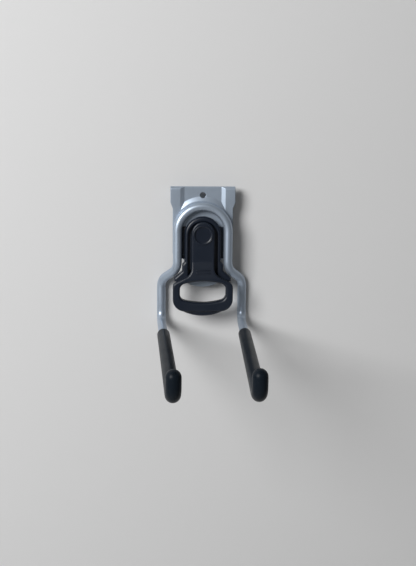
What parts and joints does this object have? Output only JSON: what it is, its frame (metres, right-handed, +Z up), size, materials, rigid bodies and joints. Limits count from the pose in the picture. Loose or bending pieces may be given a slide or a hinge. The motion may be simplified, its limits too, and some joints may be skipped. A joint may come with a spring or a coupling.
{
  "type": "garage utility hook",
  "caption": "Double-armed steel utility hook with sleeved, upturned tips and a sprung pull latch that locks it onto a slotted wall rail.",
  "frame": {"origin": "centre of the fixing hole on the rear face of the pressed panel of the back plate", "axes": "-Y forward along the arms and out of the fixing hole, +Y towards the wall, +X to the viewer's right, +Z up"},
  "size_m": [0.0988, 0.2439, 0.1563],
  "materials": {
    "silver_paint": "satin silver powder coat",
    "soft_vinyl": "soft, finely grained",
    "dark_plastic": "finely textured charcoal",
    "spring_steel": "bright"
  },
  "bodies": {
    "frame": {"back_plate": "silver_paint", "hook_rod": "silver_paint", "left_grip": "soft_vinyl", "right_grip": "soft_vinyl", "latch_housing": "dark_plastic", "release_spring": "spring_steel"},
    "latch": {"latch_slide": "dark_plastic"}
  },
  "joints": [
    {"name": "latch_pull", "type": "slide", "parent": "frame", "child": "latch", "axis": [0, 0, -1], "range_m": [0, 0.008], "stiffness_N_per_m": 600, "springref_m": -0.004, "deforming": ["release_spring"]}
  ]
}
